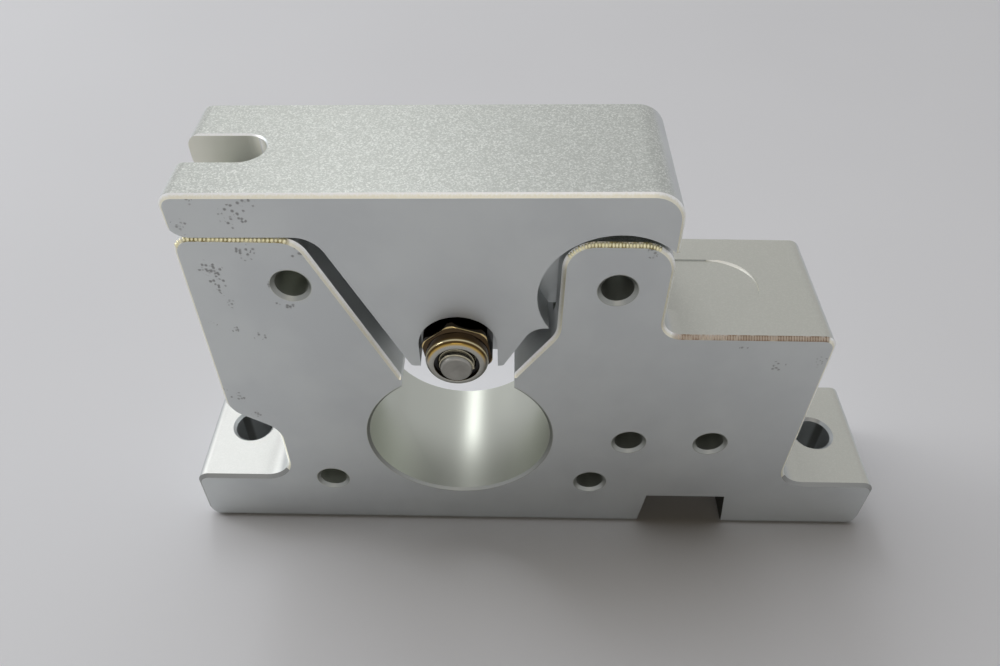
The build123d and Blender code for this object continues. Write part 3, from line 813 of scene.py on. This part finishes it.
class FEEDER_OT_marks(bpy.types.Operator):
    """Set the cutter marks along the top edges of the posts and the shoulder"""

    bl_idname = "feeder.marks"
    bl_label = "Cutter marks"

    def execute(self, context):
        marks = context.scene.feeder_marks
        look = context.scene.feeder_metal
        gold = drawn_steel("bright_cut_gold", look.gold, "#FFF9DC", 0.3)
        brown = drawn_steel("bright_cut_brown", look.tick, "#A58F7A", 0.36)
        shoulder = [(x, SHOULDER_TOP - EDGE_MIDDLE) for x in SHOULDER_EDGE]
        for name, corners, material, share in (
                ("left_post_marks", post_corners(LEFT_POST), gold, 1.0),
                ("right_post_marks", post_corners(RIGHT_POST), gold, 0.82),
                ("shoulder_marks", shoulder, brown, 0.7)):
            mesh = grown_mesh(name, cutter_mark_tree(material), {
                "Pitch": marks.pitch * share,
                "Width": marks.width,
                "Height": marks.height * share,
                "Seed": marks.seed,
            }, edge_path(name + "_path", corners))
            if not mesh.polygons:
                raise RuntimeError(name + " has no marks")
            add_piece(name, mesh, "block")
        stop = add_piece("cutter_stop_fillet", cutter_stop_mesh(), "block")
        paint(stop, drawn_steel("bright_cut_aluminium", look.edge, look.edge_dark, 0.4))
        return {"FINISHED"}


def ring_mesh(name, rings, closed=False):
    """Mesh through rings of (x, y, z) points, capped at both ends unless closed."""
    build = bmesh.new()
    loops = [[build.verts.new(point) for point in ring] for ring in rings]
    pairs = list(zip(loops, loops[1:]))
    if closed:
        pairs.append((loops[-1], loops[0]))
    for low, high in pairs:
        for i in range(len(low)):
            j = (i + 1) % len(low)
            build.faces.new((low[i], low[j], high[j], high[i]))
    if not closed:
        build.faces.new(loops[0])
        build.faces.new(loops[-1])
    bmesh.ops.remove_doubles(build, verts=build.verts, dist=1e-7)
    bmesh.ops.recalc_face_normals(build, faces=build.faces)
    mesh = bpy.data.meshes.new(name)
    build.to_mesh(mesh)
    build.free()
    return mesh


def around_axle(depth, radius_at, count=96):
    """Ring about the axle at a depth from the back face; radius_at gives mm by angle."""
    ring = []
    for i in range(count):
        turn = 2 * pi * i / count
        radius = radius_at(turn) * MM
        ring.append((AXLE.x + radius * cos(turn), -depth * MM, AXLE.z + radius * sin(turn)))
    return ring


def hexagon(across_flats, turn_deg):
    """Radius of a hexagon by angle."""
    def radius_at(turn):
        local = (turn - radians(turn_deg)) % (pi / 3) - pi / 6
        return across_flats / 2 / cos(local)
    return radius_at


def round_at(radius):
    """Radius of a circle by angle."""
    return lambda turn: radius


def within(first, second):
    """Smaller of two radii by angle."""
    return lambda turn: min(first(turn), second(turn))


class FEEDER_OT_nut(bpy.types.Operator):
    """Build the lock nut with its collar and plastic ring"""

    bl_idname = "feeder.nut"
    bl_label = "Lock nut"

    def execute(self, context):
        screw = context.scene.feeder_screw
        seat, shoulder, top = 13.6, 17.2, 18.75
        thread, insert, collar, corner = 1.95, 2.25, 3.15, 3.65
        bevel, rounding = 0.26, 0.85
        flats = hexagon(6.6, 41.8)

        # From the thread at the seat, over the hexagon and the collar, to the plastic ring's seat
        rings = [(seat, round_at(thread))]
        for step in range(5):
            share = step / 4
            rings.append((
                seat + 0.1 * share, within(flats, round_at(corner - 0.15 * (1 - share)))))
        for step in range(7):
            share = step / 6
            rings.append((
                shoulder - bevel * (1 - share), within(flats, round_at(corner - 0.45 * share))))
        rings += [(shoulder + 0.02, round_at(collar + 0.01)), (top - rounding, round_at(collar))]
        for step in range(1, 13):
            turn = radians(90 * step / 12)
            rings.append((
                top - rounding * (1 - sin(turn)), round_at(collar - 0.78 * (1 - cos(turn)))))
        rings += [
            (top - 0.03, round_at(insert + 0.03)),
            (top - 0.12, round_at(insert)),
            (top - 1.65, round_at(insert)),
            (top - 1.65, round_at(thread)),
        ]
        mesh = ring_mesh(
            "lock_nut", [around_axle(depth, form) for depth, form in rings], closed=True)
        smooth_mesh(mesh, 28)
        piece = add_piece("lock_nut", mesh, "lever")
        paint(piece, yellow_zinc("yellow_zinc", screw.zinc, screw.zinc_gold, screw.zinc_shade))
        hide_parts("axle_nut")
        paint(NODES["nut_insert"], black_nylon("black_nylon"))
        return {"FINISHED"}


def thread_tree(material):
    """Tree that winds a thread round a core and lets it run out near the tip."""
    tree, given = new_tree("screw_thread", [
        ("Radius", "NodeSocketFloat", 1.95 * MM),
        ("Pitch", "NodeSocketFloat", 0.7 * MM),
        ("Depth", "NodeSocketFloat", 0.15 * MM),
        ("Turns", "NodeSocketFloat", 9.0),
    ])
    line = add_node(
        tree, "ShaderNodeMath", {0: given.outputs["Radius"], 1: given.outputs["Depth"]},
        operation="SUBTRACT")
    spiral = add_node(tree, "GeometryNodeCurveSpiral", {
        "Resolution": 48,
        "Rotations": given.outputs["Turns"],
        "Start Radius": line,
        "End Radius": line,
        "Height": product(tree, given.outputs["Turns"], given.outputs["Pitch"]),
    })
    factor = add_node(tree, "GeometryNodeSplineParameter")
    run_out = {"Value": factor.outputs[0], "From Min": 0.8, "From Max": 0.92}
    fade = add_node(tree, "ShaderNodeMapRange", {**run_out, "To Min": 1.0, "To Max": 0.25})
    pulled = add_node(tree, "ShaderNodeMapRange", {**run_out, "To Min": 0.0, "To Max": 1.0})
    spot = add_node(tree, "GeometryNodeInputPosition")
    flat = add_node(
        tree, "ShaderNodeVectorMath", {0: spot, 1: (1.0, 1.0, 0.0)}, operation="MULTIPLY")
    inward = add_node(tree, "ShaderNodeVectorMath", {0: flat}, operation="NORMALIZE")
    shift = add_node(
        tree, "ShaderNodeVectorMath",
        {0: inward, "Scale": product(tree, given.outputs["Depth"], pulled, -1.0)},
        operation="SCALE")
    tapered = add_node(tree, "GeometryNodeSetPosition", {"Geometry": spiral, "Offset": shift})
    thinned = add_node(tree, "GeometryNodeSetCurveRadius", {"Curve": tapered, "Radius": fade})
    ridge = add_node(
        tree, "GeometryNodeCurvePrimitiveCircle",
        {"Resolution": 4, "Radius": given.outputs["Depth"]})
    wound = add_node(tree, "GeometryNodeCurveToMesh", {
        "Curve": thinned, "Profile Curve": ridge, "Fill Caps": True})
    real = add_node(tree, "GeometryNodeRealizeInstances", {"Geometry": wound})
    coated = add_node(tree, "GeometryNodeSetMaterial", {"Geometry": real, "Material": material})
    add_node(tree, "NodeGroupOutput", {"Geometry": coated})
    return tree


class FEEDER_OT_screw(bpy.types.Operator):
    """Build the axle screw with its thread and socket"""

    bl_idname = "feeder.screw"
    bl_label = "Axle screw"

    def execute(self, context):
        screw = context.scene.feeder_screw
        steel = drawn_steel("rolled_steel", screw.steel, "#8F8D86", 0.3)
        radius = screw.radius / MM
        core = radius - screw.thread_depth / MM
        crown, seat, tip = 1.2, 3.4, 19.4
        thread_start, turns = 12.4, 9.0
        socket = hexagon(2.5, 0)

        # From the socket's floor, over the head and down the shank, to the dimple in the tip
        rings = [
            (crown + 1.3, round_at(0.02)),
            (crown + 1.25, socket),
            (crown + 0.08, socket),
            (crown, hexagon(2.66, 0)),
            (crown, round_at(3.05)),
            (crown + 0.12, round_at(3.35)),
            (crown + 0.6, round_at(3.72)),
            (crown + 0.85, round_at(3.8)),
            (seat - 0.1, round_at(3.8)),
            (seat, round_at(3.7)),
            (seat, round_at(radius)),
            (thread_start, round_at(radius)),
            (thread_start + 0.3, round_at(core)),
            (tip - 0.4, round_at(core)),
            (tip - 0.16, round_at(1.56)),
            (tip - 0.05, round_at(1.5)),
            (tip, round_at(1.42)),
            (tip, round_at(0.35)),
            (tip - 0.08, round_at(0.12)),
        ]
        mesh = ring_mesh("axle_screw", [around_axle(depth, form) for depth, form in rings])
        smooth_mesh(mesh, 32)
        piece = add_piece("axle_screw", mesh, "lever")
        paint(piece, steel)
        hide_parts("axle_bolt")

        crest = drawn_steel("rolled_thread", "#C9C3AC", "#A09A84", 0.16)
        thread = grown_mesh("axle_thread", thread_tree(crest), {
            "Radius": screw.radius,
            "Pitch": screw.pitch,
            "Depth": screw.thread_depth * 0.5,
            "Turns": turns,
        })
        if not thread.polygons:
            raise RuntimeError("the thread is empty")
        start = tip - 0.3 - turns * screw.pitch / MM
        turn = Matrix.Rotation(radians(90), 4, "X")
        thread.transform(Matrix.Translation((AXLE.x, -start * MM, AXLE.z)) @ turn)
        add_piece("axle_thread", thread, "lever")
        return {"FINISHED"}


class FEEDER_OT_bearing(bpy.types.Operator):
    """Finish the idler bearing and its washers"""

    bl_idname = "feeder.bearing"
    bl_label = "Idler bearing"

    def execute(self, context):
        ground = drawn_steel("ground_bearing_steel", "#C6C7C6", "#BDBEBE", 0.16, grain=0.3)
        pressed = drawn_steel("pressed_steel", "#B9B8B2", "#A9A79F", 0.3)
        for node in ("bearing_inner_ring", "bearing_outer_ring", "bearing_balls"):
            paint(NODES[node], ground)
        for node in ("bearing_rear_shield", "bearing_front_shield", "rear_spacer", "front_spacer"):
            paint(NODES[node], pressed)
        paint(NODES["bearing_cage"], drawn_steel("cage_steel", "#A89F86", "#9C947E", 0.36))
        return {"FINISHED"}


# Stage

def add_lamp(name, location, target, width, height, power, colour):
    """Soft rectangular lamp that points at a place."""
    lamp = bpy.data.lights.new(name, "AREA")
    lamp.shape = "RECTANGLE"
    lamp.size, lamp.size_y = width, height
    lamp.energy = power
    lamp.color = linear(colour)[:3]
    holder = bpy.data.objects.new(name, lamp)
    bpy.context.scene.collection.objects.link(holder)
    holder.location = location
    aim = Vector(target) - Vector(location)
    holder.rotation_euler = aim.to_track_quat("-Z", "Y").to_euler()


def seen_rays(tree):
    """Share that is 1 for camera, mirror and glass rays, which see the plain background."""
    rays = add_node(tree, "ShaderNodeLightPath")
    seen = rays.outputs["Is Camera Ray"]
    for kind in ("Is Glossy Ray", "Is Transmission Ray"):
        seen = add_node(
            tree, "ShaderNodeMath", {0: seen, 1: rays.outputs[kind]}, operation="MAXIMUM")
    return seen


def matte_paper(colour, background):
    """Uncoated white card, which gives a plain pale floor with no gloss. Far from the object it
    goes over into the background, so that no horizon shows."""
    material, tree = new_material("matte_paper")
    place = surface_place(tree)
    tone = add_node(
        tree, "ShaderNodeTexNoise", {"Vector": place, "Scale": 1 / 60.0, "Detail": 2.0})
    darker = tuple(0.95 * channel for channel in linear(colour)[:3]) + (1.0,)
    paper = add_node(tree, "ShaderNodeBsdfPrincipled", {
        "Base Color": add_node(
            tree, "ShaderNodeMix", {"Factor": tone, "A": linear(colour), "B": darker},
            data_type="RGBA"),
        "Roughness": 0.9,
        "Specular IOR Level": 0.1,
    })
    away = add_node(tree, "ShaderNodeVectorMath", {0: place}, operation="LENGTH")
    far = add_node(
        tree, "ShaderNodeMapRange", {"Value": away, "From Min": 230.0, "From Max": 520.0},
        interpolation_type="SMOOTHSTEP")
    share = product(tree, far, seen_rays(tree))
    pale = add_node(
        tree, "ShaderNodeEmission", {"Color": linear(background), "Strength": 1.0})
    both = add_node(tree, "ShaderNodeMixShader", {0: share, 1: paper.outputs[0], 2: pale})
    add_node(tree, "ShaderNodeOutputMaterial", {"Surface": both})
    return material


def studio_air(stage):
    """World with a plain pale background, whose soft light on the object comes from behind, above
    and the left."""
    world = bpy.data.worlds.new("studio_air")
    world.use_nodes = True
    tree = world.node_tree
    tree.nodes.clear()
    given = add_node(tree, "ShaderNodeTexCoord")
    toward = add_node(tree, "ShaderNodeSeparateXYZ", {0: given.outputs["Generated"]}).outputs
    side = add_node(
        tree, "ShaderNodeMapRange",
        {"Value": toward["X"], "From Min": -0.6, "From Max": 0.6, "To Min": 1.72, "To Max": 0.5})
    behind = add_node(
        tree, "ShaderNodeMapRange",
        {"Value": toward["Y"], "From Min": -0.15, "From Max": 0.35, "To Min": stage.front_share,
         "To Max": 1.0}, interpolation_type="SMOOTHSTEP")
    above = add_node(
        tree, "ShaderNodeMapRange",
        {"Value": toward["Z"], "From Min": 0.1, "From Max": 0.6, "To Min": 0.05, "To Max": 1.0},
        interpolation_type="SMOOTHSTEP")
    tint = add_node(
        tree, "ShaderNodeMix",
        {"Factor": behind, "A": linear("#FFE8C4"), "B": linear("#FBFCFF")}, data_type="RGBA")
    soft = add_node(
        tree, "ShaderNodeBackground",
        {"Color": tint, "Strength": product(tree, side, behind, above, stage.sky)})
    pale = add_node(
        tree, "ShaderNodeBackground", {"Color": linear(stage.background), "Strength": 1.0})
    both = add_node(tree, "ShaderNodeMixShader", {0: seen_rays(tree), 1: soft, 2: pale})
    add_node(tree, "ShaderNodeOutputWorld", {"Surface": both})
    return world


class FEEDER_OT_stage(bpy.types.Operator):
    """Set the camera, the floor and the soft lamps"""

    bl_idname = "feeder.stage"
    bl_label = "Stage"

    def execute(self, context):
        stage = context.scene.feeder_stage
        camera = bpy.data.cameras.new("camera")
        camera.lens = stage.lens
        camera.sensor_width = 36.0
        camera.sensor_fit = "HORIZONTAL"
        camera.clip_start, camera.clip_end = 0.001, 20.0
        holder = bpy.data.objects.new("camera", camera)
        context.scene.collection.objects.link(holder)
        right = (0.99989, 0.01048, 0.01058)
        up = (-0.0149, 0.7038, 0.7102)
        back = (0.0, -0.7103, 0.7039)
        turn = Matrix((right, up, back)).transposed().to_4x4()
        holder.matrix_world = Matrix.Translation(stage.camera) @ turn
        context.scene.camera = holder

        mesh = bpy.data.meshes.new("floor")
        reach = 2.0
        corners = [(-reach, -reach), (reach, -reach), (reach, reach), (-reach, reach)]
        mesh.from_pydata([(x, y, BASE_Z) for x, y in corners], [], [(0, 1, 2, 3)])
        floor = bpy.data.objects.new("floor", mesh)
        context.scene.collection.objects.link(floor)
        paint(floor, matte_paper(stage.floor, stage.background))
        context.scene.world = studio_air(stage)

        centre = (0.005, -0.008, 0.0)
        add_lamp("window", (-0.105, 0.335, 0.4), centre, 0.1, 0.2, stage.window, "#FBFDFF")
        add_lamp("side", (-0.35, 0.07, 0.22), centre, 0.16, 0.16, stage.side, "#FAFCFF")
        add_lamp("front", (0.0, -0.43, 0.43), centre, 0.36, 0.06, stage.front, "#FFF3E0")
        context.scene.view_settings.view_transform = "Standard"
        return {"FINISHED"}


class FEEDER_PT_panel(bpy.types.Panel):
    """Feeder block looks, in the 3D view's sidebar"""

    bl_label = "Feeder block"
    bl_idname = "FEEDER_PT_panel"
    bl_space_type = "VIEW_3D"
    bl_region_type = "UI"
    bl_category = "Feeder"

    def draw(self, context):
        for settings in SETTINGS:
            group = getattr(context.scene, settings)
            box = self.layout.box()
            for name in group.bl_rna.properties.keys():
                if name not in ("rna_type", "name"):
                    box.prop(group, name)
        for operator in OPERATORS:
            self.layout.operator(operator.bl_idname)


OPERATORS = (
    FEEDER_OT_block, FEEDER_OT_marks, FEEDER_OT_nut, FEEDER_OT_screw, FEEDER_OT_bearing,
    FEEDER_OT_stage)
SETTINGS = {
    "feeder_metal": FeederMetalSettings,
    "feeder_marks": FeederMarksSettings,
    "feeder_screw": FeederScrewSettings,
    "feeder_stage": FeederStageSettings,
}


def register():
    for name, group in SETTINGS.items():
        bpy.utils.register_class(group)
        setattr(bpy.types.Scene, name, PointerProperty(type=group))
    for kind in (*OPERATORS, FEEDER_PT_panel):
        bpy.utils.register_class(kind)


def unregister():
    for kind in reversed((*OPERATORS, FEEDER_PT_panel)):
        bpy.utils.unregister_class(kind)
    for name, group in SETTINGS.items():
        delattr(bpy.types.Scene, name)
        bpy.utils.unregister_class(group)


def main():
    register()
    bpy.ops.feeder.block()
    bpy.ops.feeder.marks()
    bpy.ops.feeder.nut()
    bpy.ops.feeder.screw()
    bpy.ops.feeder.bearing()
    bpy.ops.feeder.stage()


if __name__ == "__main__":
    main()
